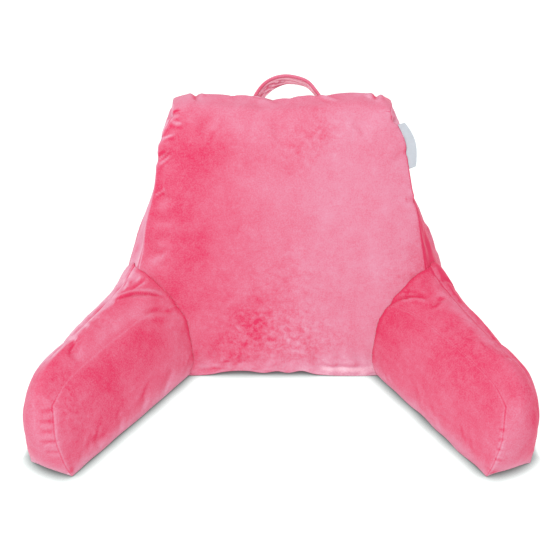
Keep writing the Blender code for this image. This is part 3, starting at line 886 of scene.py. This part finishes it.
def backrest_nap(points, facing, b):
    """How light the pile's colour is on each side of the backrest: painted light on the top and
    left side, painted shade on the right side, painted bounce light at the foot, and the face's own
    tone. b runs from front to back.
    """
    nap = blend(*FACE_NAP, ease(*FACE_NAP_FROM_TO, points[:, 0]))
    nap = blend(nap, BACK_NAP, ease(*BACK_FROM_TO, facing[:, 1]))
    nap = blend(nap, TOP_PAINTED_LIGHT, ease(*TOP_FROM_TO, facing[:, 2]))
    by_face = ease(*SIDE_FRONT_FROM_TO, b)
    left = blend(*LEFT_SIDE_PAINTED_LIGHT, by_face)
    nap = blend(nap, left, ease(*LEFT_SIDE_FROM_TO, -facing[:, 0]))
    front = blend(TOP_PAINTED_LIGHT, RIGHT_SIDE_PAINTED_SHADE[1], ease(*RIGHT_SIDE_FALLS, points[:, 2]))
    right = blend(RIGHT_SIDE_PAINTED_SHADE[0], front, by_face)
    nap = blend(nap, right, ease(*RIGHT_SIDE_FROM_TO, facing[:, 0]))
    return nap + FOOT_PAINTED_BOUNCE * ease(*FOOT_PAINTED_BOUNCE_FROM_TO, points[:, 2])


def arm_nap(arm, points, facing):
    """How light the pile's colour is on each side of an arm, by the way it faces: painted light on
    the left arm's outer side, painted shade on the right arm's, and painted bounce light from the
    floor at the foot.
    """
    naps = ARM_TONES_AND_LIGHT[arm.name]
    nap = np.full(len(points), naps.inner)
    nap = blend(nap, naps.strip, ease(*ARM_STRIP_FROM_TO, facing[:, 2]))
    nap = blend(nap, naps.nose, ease(*ARM_NOSE_FROM_TO, -facing[:, 1]))
    outward = ease(naps.turns, naps.turns + OUTER_TURN, facing[:, 0] * arm.side)
    nap = blend(nap, blend(nap, naps.outer, OUTER_SHARE), outward)
    by_top = ease(*OUTER_FROM_TO, points[:, 2]) * ease(*OUTER_ENDS, points[:, 1])
    nap = blend(nap, naps.outer, outward * by_top)
    return nap + ARM_FOOT_PAINTED_BOUNCE * ease(*ARM_FOOT_PAINTED_BOUNCE_FROM_TO, points[:, 2])


class Graph:
    """A short way to write a material's nodes."""

    def __init__(self, name):
        self.material = bpy.data.materials.new(name)
        self.material.use_nodes = True
        self.tree = self.material.node_tree
        self.shader = self.tree.nodes["Principled BSDF"]

    def add(self, kind, settings=None, **inputs):
        """A new node. inputs are values, or outputs of other nodes, by socket name or number."""
        node = self.tree.nodes.new("ShaderNode" + kind)
        for key, value in (settings or {}).items():
            setattr(node, key, value)
        for key, value in inputs.items():
            self.put(node, key, value)
        return node

    def put(self, node, key, value):
        socket = node.inputs[int(key[1:]) if key[0] == "i" and key[1:].isdigit() else key]
        if isinstance(value, bpy.types.NodeSocket):
            self.tree.links.new(value, socket)
        else:
            socket.default_value = value

    def math(self, operation, first, second=0.0, third=0.0):
        node = self.add("Math", {"operation": operation}, i0=first, i1=second, i2=third)
        return node.outputs[0]

    def lighter(self, light, spots, amount, middle=0.5):
        """light with the spots added that lie above their middle, and taken off below it."""
        return self.math("MULTIPLY_ADD", self.math("SUBTRACT", spots, middle), amount, light)

    def ramp(self, value, low, high):
        """0 at low and 1 at high."""
        return self.add("MapRange", i0=value, i1=low, i2=high).outputs[0]

    def spots(self, scale, detail=3.0, stretch=None, **inputs):
        """Noise from 0 to 1 in the object's own metres."""
        place = self.add("TexCoord").outputs["Object"]
        if stretch:
            place = self.add("Mapping", Vector=place, Scale=stretch).outputs[0]
        return self.add("TexNoise", Vector=place, Scale=scale, Detail=detail, **inputs).outputs[0]

    def value(self, name):
        return self.add("Attribute", {"attribute_name": name}).outputs["Fac"]


def velvet():
    """Short pile: blotches where it was brushed, crushed specks, a fine grain and a soft sheen."""
    g = Graph("pink_velvet")
    blotch = g.spots(11.0, 4.0, Roughness=0.6)
    streak = g.spots(42.0, 3.0, stretch=(1.0, 0.7, 1.3), Roughness=0.6, Distortion=0.2)
    speck = g.spots(105.0, 3.0, Roughness=0.65, Distortion=0.2)
    crushed = g.value("crushed")
    grain = g.spots(460.0, 2.0)
    # The attribute holds the pile's tone together with painted light and shade: lit and shaded
    # sides, painted shade in creases and crevices, painted highlights on ridges, painted bounce
    # light from the floor.
    light = g.lighter(g.value("nap"), blotch, BLOTCHED)
    light = g.lighter(light, streak, STREAKED)
    specks = g.math("MULTIPLY", g.math("SUBTRACT", speck, SPECK_MIDDLE), crushed)
    light = g.math("MULTIPLY_ADD", specks, SPECKLED, light)
    light = g.lighter(light, grain, GRAINED)
    light = g.lighter(light, g.ramp(g.value("seam"), *SEAM_LINE), SEAM_DARKENS, 1.0)
    rises = g.ramp(g.value("seam"), *BESIDE_RISES)
    falls = g.ramp(g.value("seam"), *BESIDE_FALLS)
    light = g.math("MULTIPLY_ADD", g.math("MULTIPLY", rises, falls), BESIDE_LIGHTENS, light)
    mix = g.add("Mix", {"data_type": "RGBA"}, i0=light, i6=DARK_PILE, i7=LIGHT_PILE)
    beyond = g.math("SUBTRACT", light, 1.0)
    mix = g.add("Mix", {"data_type": "RGBA"}, i0=beyond, i6=mix.outputs[2], i7=PALE_PILE)
    g.put(g.shader, "Base Color", mix.outputs[2])
    g.put(g.shader, "Roughness", 0.9)
    g.put(g.shader, "Sheen Weight", 0.42)
    g.put(g.shader, "Sheen Roughness", 0.28)
    g.put(g.shader, "Sheen Tint", SHEEN_TINT)
    g.put(g.shader, "Specular IOR Level", 0.15)
    fine = g.math("MULTIPLY_ADD", g.spots(900.0, 2.0), 0.4, g.math("MULTIPLY", streak, 0.6))
    fine = g.math("MULTIPLY_ADD", speck, 0.4, fine)
    bump = g.add("Bump", Strength=0.4, Distance=0.0014, Height=fine)
    g.put(g.shader, "Normal", bump.outputs[0])
    return g.material


def ribbon():
    """Smooth grey ribbon with a fine rib across it."""
    g = Graph("grey_ribbon")
    place = g.add("TexCoord").outputs["Object"]
    rib = g.add(
        "TexWave", {"bands_direction": "Z"}, Vector=place, Scale=320.0, Distortion=0.4
    ).outputs["Fac"]
    cloudy = g.spots(120.0, 3.0)
    mix = g.add("Mix", {"data_type": "RGBA"}, i0=cloudy, i6=DARK_RIBBON, i7=LIGHT_RIBBON)
    g.put(g.shader, "Base Color", mix.outputs[2])
    g.put(g.shader, "Roughness", 0.55)
    bump = g.add("Bump", Strength=0.25, Distance=0.0002, Height=rib)
    g.put(g.shader, "Normal", bump.outputs[0])
    return g.material


# --- pieces ---


def rounded(points, quads, share):
    """The points drawn towards the middle of their neighbours by their share, turn after turn."""
    here = quads[:, [0, 1, 2, 3, 1, 2, 3, 0]].T.ravel()
    beside = quads[:, [1, 2, 3, 0, 0, 1, 2, 3]].T.ravel()
    neighbours = np.bincount(here)
    for _ in range(ROUNDED_TURNS):
        middle = [np.bincount(here, points[beside, k]) / neighbours for k in range(3)]
        points = blend(points, np.stack(middle, 1), share[:, None])
    return points


def sewn(name, counts, skin, plain, gather, flipped=False):
    """A skin on a fine grid, with the filling's pressure behind its cloth.

    Gives its points, quads and shares, and the directions that it faces before the pressure.
    """

    def grid(fineness):
        abc, quads = six_panels([fineness * count for count in counts])
        return skin(*abc), quads[:, ::-1] if flipped else quads, abc

    points, quads, abc = grid(1)
    distance, _ = nearest(seam_samples(points, abc, EDGES - plain - FAINT_SEAMS), points)
    moves = on_finer_grid(counts, pressed_out(name, points, quads, abc, distance, gather))
    points, quads, abc = grid(2)
    away, _ = nearest(seam_samples(points, abc, plain | FAINT_SEAMS), points)
    share = np.exp(-((away / ROUNDED_REACH[name]) ** 2))
    smooth = rounded(points, quads, share)
    points = rounded(points + moves, quads, share)
    points[:, 2] = np.maximum(points[:, 2], 0)
    return points, quads, abc, corner_normals(smooth, quads)


def cover(name, points, quads, nap, seam):
    """A cushion's cover, with what its velvet needs to know at each point."""
    crushed = np.minimum(CRUSHED_ALL_OVER + near_patches(points, CRUSHED_PATCHES[name]), 1)
    return new_piece(name + "_cover", points, quads, nap=nap, seam=seam, crushed=crushed)


def make_backrest(material):
    """The filled backrest, and a copy of it that is larger all round by the sewn gap."""
    points, quads, abc, smooth = sewn(
        "backrest", BACKREST_GRID, backrest_points, set(), BACKREST_GATHERED
    )
    points, seam = dressed("backrest", points, quads, abc, set(), seed=1)
    facing = corner_normals(points, quads)
    nap = nap_of("backrest", points, backrest_nap(points, facing, abc[1]), facing, smooth)
    thing = cover("backrest", points, quads, nap, seam)
    grown = points + SEWN_GAP * corner_normals(points, quads)
    cutter = new_piece("backrest_cutter", grown, quads)
    as_part(thing, "backrest", material)
    return thing, cutter


def make_arm(arm, material, backrest, cutter, seed):
    """A filled arm, rolled in along the seam that sews it to the backrest."""

    def skin(a, b, c):
        return arm_points(a, b, c, arm)

    nose = {(1, 1, 1)}  # the top strip runs on down the front with no seam across it
    points, quads, abc, smooth = sewn(
        arm.name, ARM_GRID, skin, nose, ARM_GATHERED, flipped=arm.side < 0
    )
    points, seam = dressed(arm.name, points, quads, abc, nose, seed)
    by_root = np.exp(-((distance_outside(points, backrest) / ROOT_TUCK_REACH) ** 2))
    tuck = ROOT_TUCK * by_root * ease(*ROOT_TUCK_FROM_TO, points[:, 2])
    points = points - corner_normals(points, quads) * tuck[:, None]
    facing = corner_normals(points, quads)
    nap = nap_of(arm.name, points, arm_nap(arm, points, facing), facing, smooth)
    # painted shade in the crevice where the arm is sewn to the backrest
    nap -= ROOT_SHADE * by_root
    thing = cover(arm.name, points, quads, nap, seam)
    cut_away(thing, cutter)
    as_part(thing, arm.name, material)
    return thing


def distance_outside(points, thing):
    """Distance of each point from thing's surface: 0 inside it, and FAR when it isn't near."""
    result = []
    for point in in_frame(points):
        found, spot, normal, _ = thing.closest_point_on_mesh(Vector(point), distance=NEAR * MM)
        gap = Vector(point) - spot
        outside = gap.length / MM if gap.dot(normal) > 0 else 0.0
        result.append(outside if found else FAR)
    return np.array(result)


def tube(steps, sides):
    """The quads around a tube whose points stand in rings, one step apart."""
    low = np.arange(0, steps * sides, sides)[:, None]
    k = np.arange(sides)[None]
    after = (k + 1) % sides
    quads = np.stack([low + k, low + after, low + sides + after, low + sides + k], -1)
    return quads.reshape(-1, 4).tolist()


def make_handle(material, cutter):
    """The strap: a smooth rolled hem in front, and behind it a thin web that is creased inside."""
    span = np.array([math.cos(HANDLE_TURN), math.sin(HANDLE_TURN), 0.0])
    level = np.array([-span[1], span[0], 0.0])
    rise = np.array([0.0, 0.0, math.cos(HANDLE_LEAN)]) + level * math.sin(HANDLE_LEAN)
    across = np.cross(span, rise)

    places = np.array([(row.along, row.rise) for row in HANDLE_LINE], float)
    length = np.concatenate([[0], np.linalg.norm(np.diff(places, axis=0), axis=1).cumsum()])
    t = np.linspace(0, length[-1], HANDLE_STEPS + 1)
    line = np.stack([smooth_line(t, length, places[:, k]) for k in (0, 1)], 1)
    forward = np.gradient(line, axis=0)
    forward /= np.linalg.norm(forward, axis=1, keepdims=True)
    outward = np.stack([-forward[:, 1], forward[:, 0]], 1)
    twist = np.radians(smooth_line(t, length, column(HANDLE_LINE, "twist")))

    turn = np.linspace(0, 2 * math.pi, STRAP_SIDES, endpoint=False)
    wide = STRAP_WIDTH / 2 * np.sign(np.cos(turn)) * np.abs(np.cos(turn)) ** STRAP_CROWDING
    side = np.sign(np.sin(turn))
    tip = np.sqrt(np.clip(1 - (2 * wide / STRAP_WIDTH) ** STRAP_SQUARENESS, 0, 1))
    hem = np.sqrt(np.clip(HEM_RADIUS**2 - (wide - HEM_PLACE) ** 2, 0, None))
    half = np.maximum(STRAP_THICKNESS / 2 * tip, hem)

    where = np.stack(np.broadcast_arrays(t[:, None], wide[None], side[None]), -1).reshape(-1, 3)
    scale = np.array([1 / CREASE_LENGTH, 1 / CREASE_WIDTH, CREASE_SIDES_APART])
    slant = where + np.array([0, CREASE_SLANT, 0]) * where[:, :1]
    ridge = 1 - CREASE_SHARPNESS * np.abs(uneven(slant * scale, 1.0, CREASE_SEED))
    ridge = ridge.reshape(len(t), -1)
    ridge *= np.clip((HEM_PLACE - HEM_RADIUS - wide) / CREASE_ENDS, 0, 1)
    ridge *= np.where(side < 0, 1, OUTER_CREASES)
    through = side * (half + CREASE_HEIGHT * ridge * tip)

    middle = np.array(HANDLE_BASE) + line[:, :1] * span + line[:, 1:] * rise
    ray = outward[:, :1] * span + outward[:, 1:] * rise
    front = np.cos(twist)[:, None] * across + np.sin(twist)[:, None] * ray
    top = np.cos(twist)[:, None] * ray - np.sin(twist)[:, None] * across
    edge = middle + across * HEM_PLACE
    points = edge[:, None] + (wide - HEM_PLACE)[None, :, None] * front[:, None]
    points = (points + through[:, :, None] * top[:, None]).reshape(-1, 3)

    # The web's tone, with painted light lifting it out of its shade.
    web_nap = blend(*WEB_TONE_AND_PAINTED_LIGHT, ease(*WEB_TONE_AND_PAINTED_LIGHT_FROM_TO, line[:, :1]))
    hem_nap = blend(*HEM_NAP, ease(*HEM_NAP_FROM_TO, np.abs(line[:, :1])))
    nap = np.where(wide[None] > HEM_PLACE - HEM_RADIUS, hem_nap, web_nap)
    # Painted highlights on the ridges of the creases, and in a line along the rolled hem's edge.
    nap = nap + CREASE_PAINTED_HIGHLIGHT * np.clip(ridge, 0, 1)
    beside_hem = (wide - HEM_PLACE + HEM_RADIUS + HEM_LINE_PLACE) / HEM_LINE_WIDTH
    nap = nap + HEM_LINE_PAINTED_HIGHLIGHT * np.exp(-(beside_hem**2))[None]

    faces = tube(HANDLE_STEPS, STRAP_SIDES)
    faces.append(list(range(STRAP_SIDES))[::-1])
    faces.append(list(range(HANDLE_STEPS * STRAP_SIDES, len(points))))
    far = np.full(len(points), FAR)
    strap = new_piece("handle_strap", points, faces, nap=nap.ravel(), seam=far, crushed=far * 0)
    cut_away(strap, cutter)
    as_part(strap, "handle", material)


def make_tag(material, cutter):
    """A blank ribbon folded double at its outer edge, with both ends sewn into the side seam."""
    rows, cells = TAG_GRID
    share = np.linspace(0, 1, rows + 1)
    height = blend(*TAG_HEIGHTS, share)
    seam = read(BACKREST_OUTLINE, "front", height / FACE_HEIGHT)
    reach = TAG_REACH + TAG_BULGE * np.sin(math.pi * share**TAG_BULGE_SKEW)

    # Once around the ribbon's section: out along the front layer, round the fold and back, and
    # the same way home on the inside. u runs out from the seam as a share, v goes through the tag.
    out = np.linspace(0, 1, cells)
    bend = np.linspace(0, math.pi, TAG_BENDS + 2)[1:-1]
    outside = TAG_FOLD / 2
    inside = outside - RIBBON_THICKNESS
    u, v = [], []
    for half, beyond, way in ((outside, TAG_ROUND[0], 1), (inside, TAG_ROUND[1], -1)):
        u += [out, 1 + np.sin(bend) * beyond, out[::-1]]
        v += [np.full(cells, -half * way), -half * way * np.cos(bend), np.full(cells, half * way)]
    u = np.concatenate(u)
    v = np.concatenate(v)
    open_up = 1 + TAG_OPENS * (1 - np.clip(u, 0, 1)) ** 2
    c = np.clip(u, 0, 1)[None]
    x = seam[:, None] - TAG_SEWN_IN + u[None] * (TAG_SEWN_IN + reach)[:, None]
    wave = TAG_WAVE * np.sin(TAG_WAVES * math.pi * share)[:, None] * c
    y = (height * math.tan(FACE_LEAN))[:, None] + TAG_BEHIND + TAG_CURL * c * c + wave
    y = y + (v * open_up)[None]
    z = height[:, None] + TAG_RAISED * c
    points = np.stack([x, y, z], -1).reshape(-1, 3)

    sides = len(u)
    faces = tube(rows, sides)
    for level in (0, rows * sides):
        for i in range(sides // 2 - 1):
            ends = [level + i, level + i + 1, level + sides - 2 - i, level + sides - 1 - i]
            faces.append(ends if level else ends[::-1])
    tag = new_piece("tag_ribbon", points, faces)
    cut_away(tag, cutter)
    as_part(tag, "tag", material)


def stage():
    """A pale floor, soft studio light and the camera."""
    bpy.ops.mesh.primitive_plane_add(size=FLOOR_SIZE)
    floor = bpy.context.object
    floor.name = "floor"
    g = Graph("pale_floor")
    g.put(g.shader, "Base Color", FLOOR_TINT)
    g.put(g.shader, "Roughness", 0.8)
    # The floor glows white, and its glow is painted darker close to what stands on it: a painted
    # contact shadow.
    towards = g.add("CombineXYZ", X=SHADE_TOWARDS[0], Y=SHADE_TOWARDS[1], Z=SHADE_TOWARDS[2])
    open_air = g.add(
        "AmbientOcclusion", {"samples": 16}, Distance=CONTACT_SHADE, Normal=towards.outputs[0]
    ).outputs["AO"]
    g.put(g.shader, "Emission Color", WHITE)
    g.put(g.shader, "Emission Strength", g.math("POWER", open_air, CONTACT_DARKNESS))
    floor.data.materials.append(g.material)

    world = bpy.data.worlds.new("studio")
    world.use_nodes = True
    background = world.node_tree.nodes["Background"].inputs
    background["Color"].default_value = WHITE
    background["Strength"].default_value = STUDIO_LIGHT
    bpy.context.scene.world = world

    data = bpy.data.lights.new("key", "AREA")
    data.shape = "DISK"
    data.size = KEY_SIZE
    data.energy = KEY_POWER
    lamp = bpy.data.objects.new("key", data)
    lamp.location = KEY_PLACE
    lamp.rotation_euler = (Vector(KEY_AIM) - Vector(KEY_PLACE)).to_track_quat("-Z", "Y").to_euler()
    bpy.context.scene.collection.objects.link(lamp)

    camera = bpy.data.objects.new("camera", bpy.data.cameras.new("camera"))
    camera.location = in_frame(CAMERA_PLACE)
    camera.rotation_euler = (math.pi / 2 - CAMERA_DOWN, 0, 0)
    camera.data.lens = CAMERA_LENS
    camera.data.sensor_width = CAMERA_SENSOR
    bpy.context.scene.collection.objects.link(camera)
    bpy.context.scene.camera = camera
    bpy.context.scene.view_settings.view_transform = "Standard"


def main():
    pink = velvet()
    backrest, cutter = make_backrest(pink)
    for seed, arm in enumerate(ARMS, start=5):
        make_arm(arm, pink, backrest, cutter, seed)
    make_handle(pink, cutter)
    make_tag(ribbon(), cutter)
    bpy.data.objects.remove(cutter)
    stage()


main()
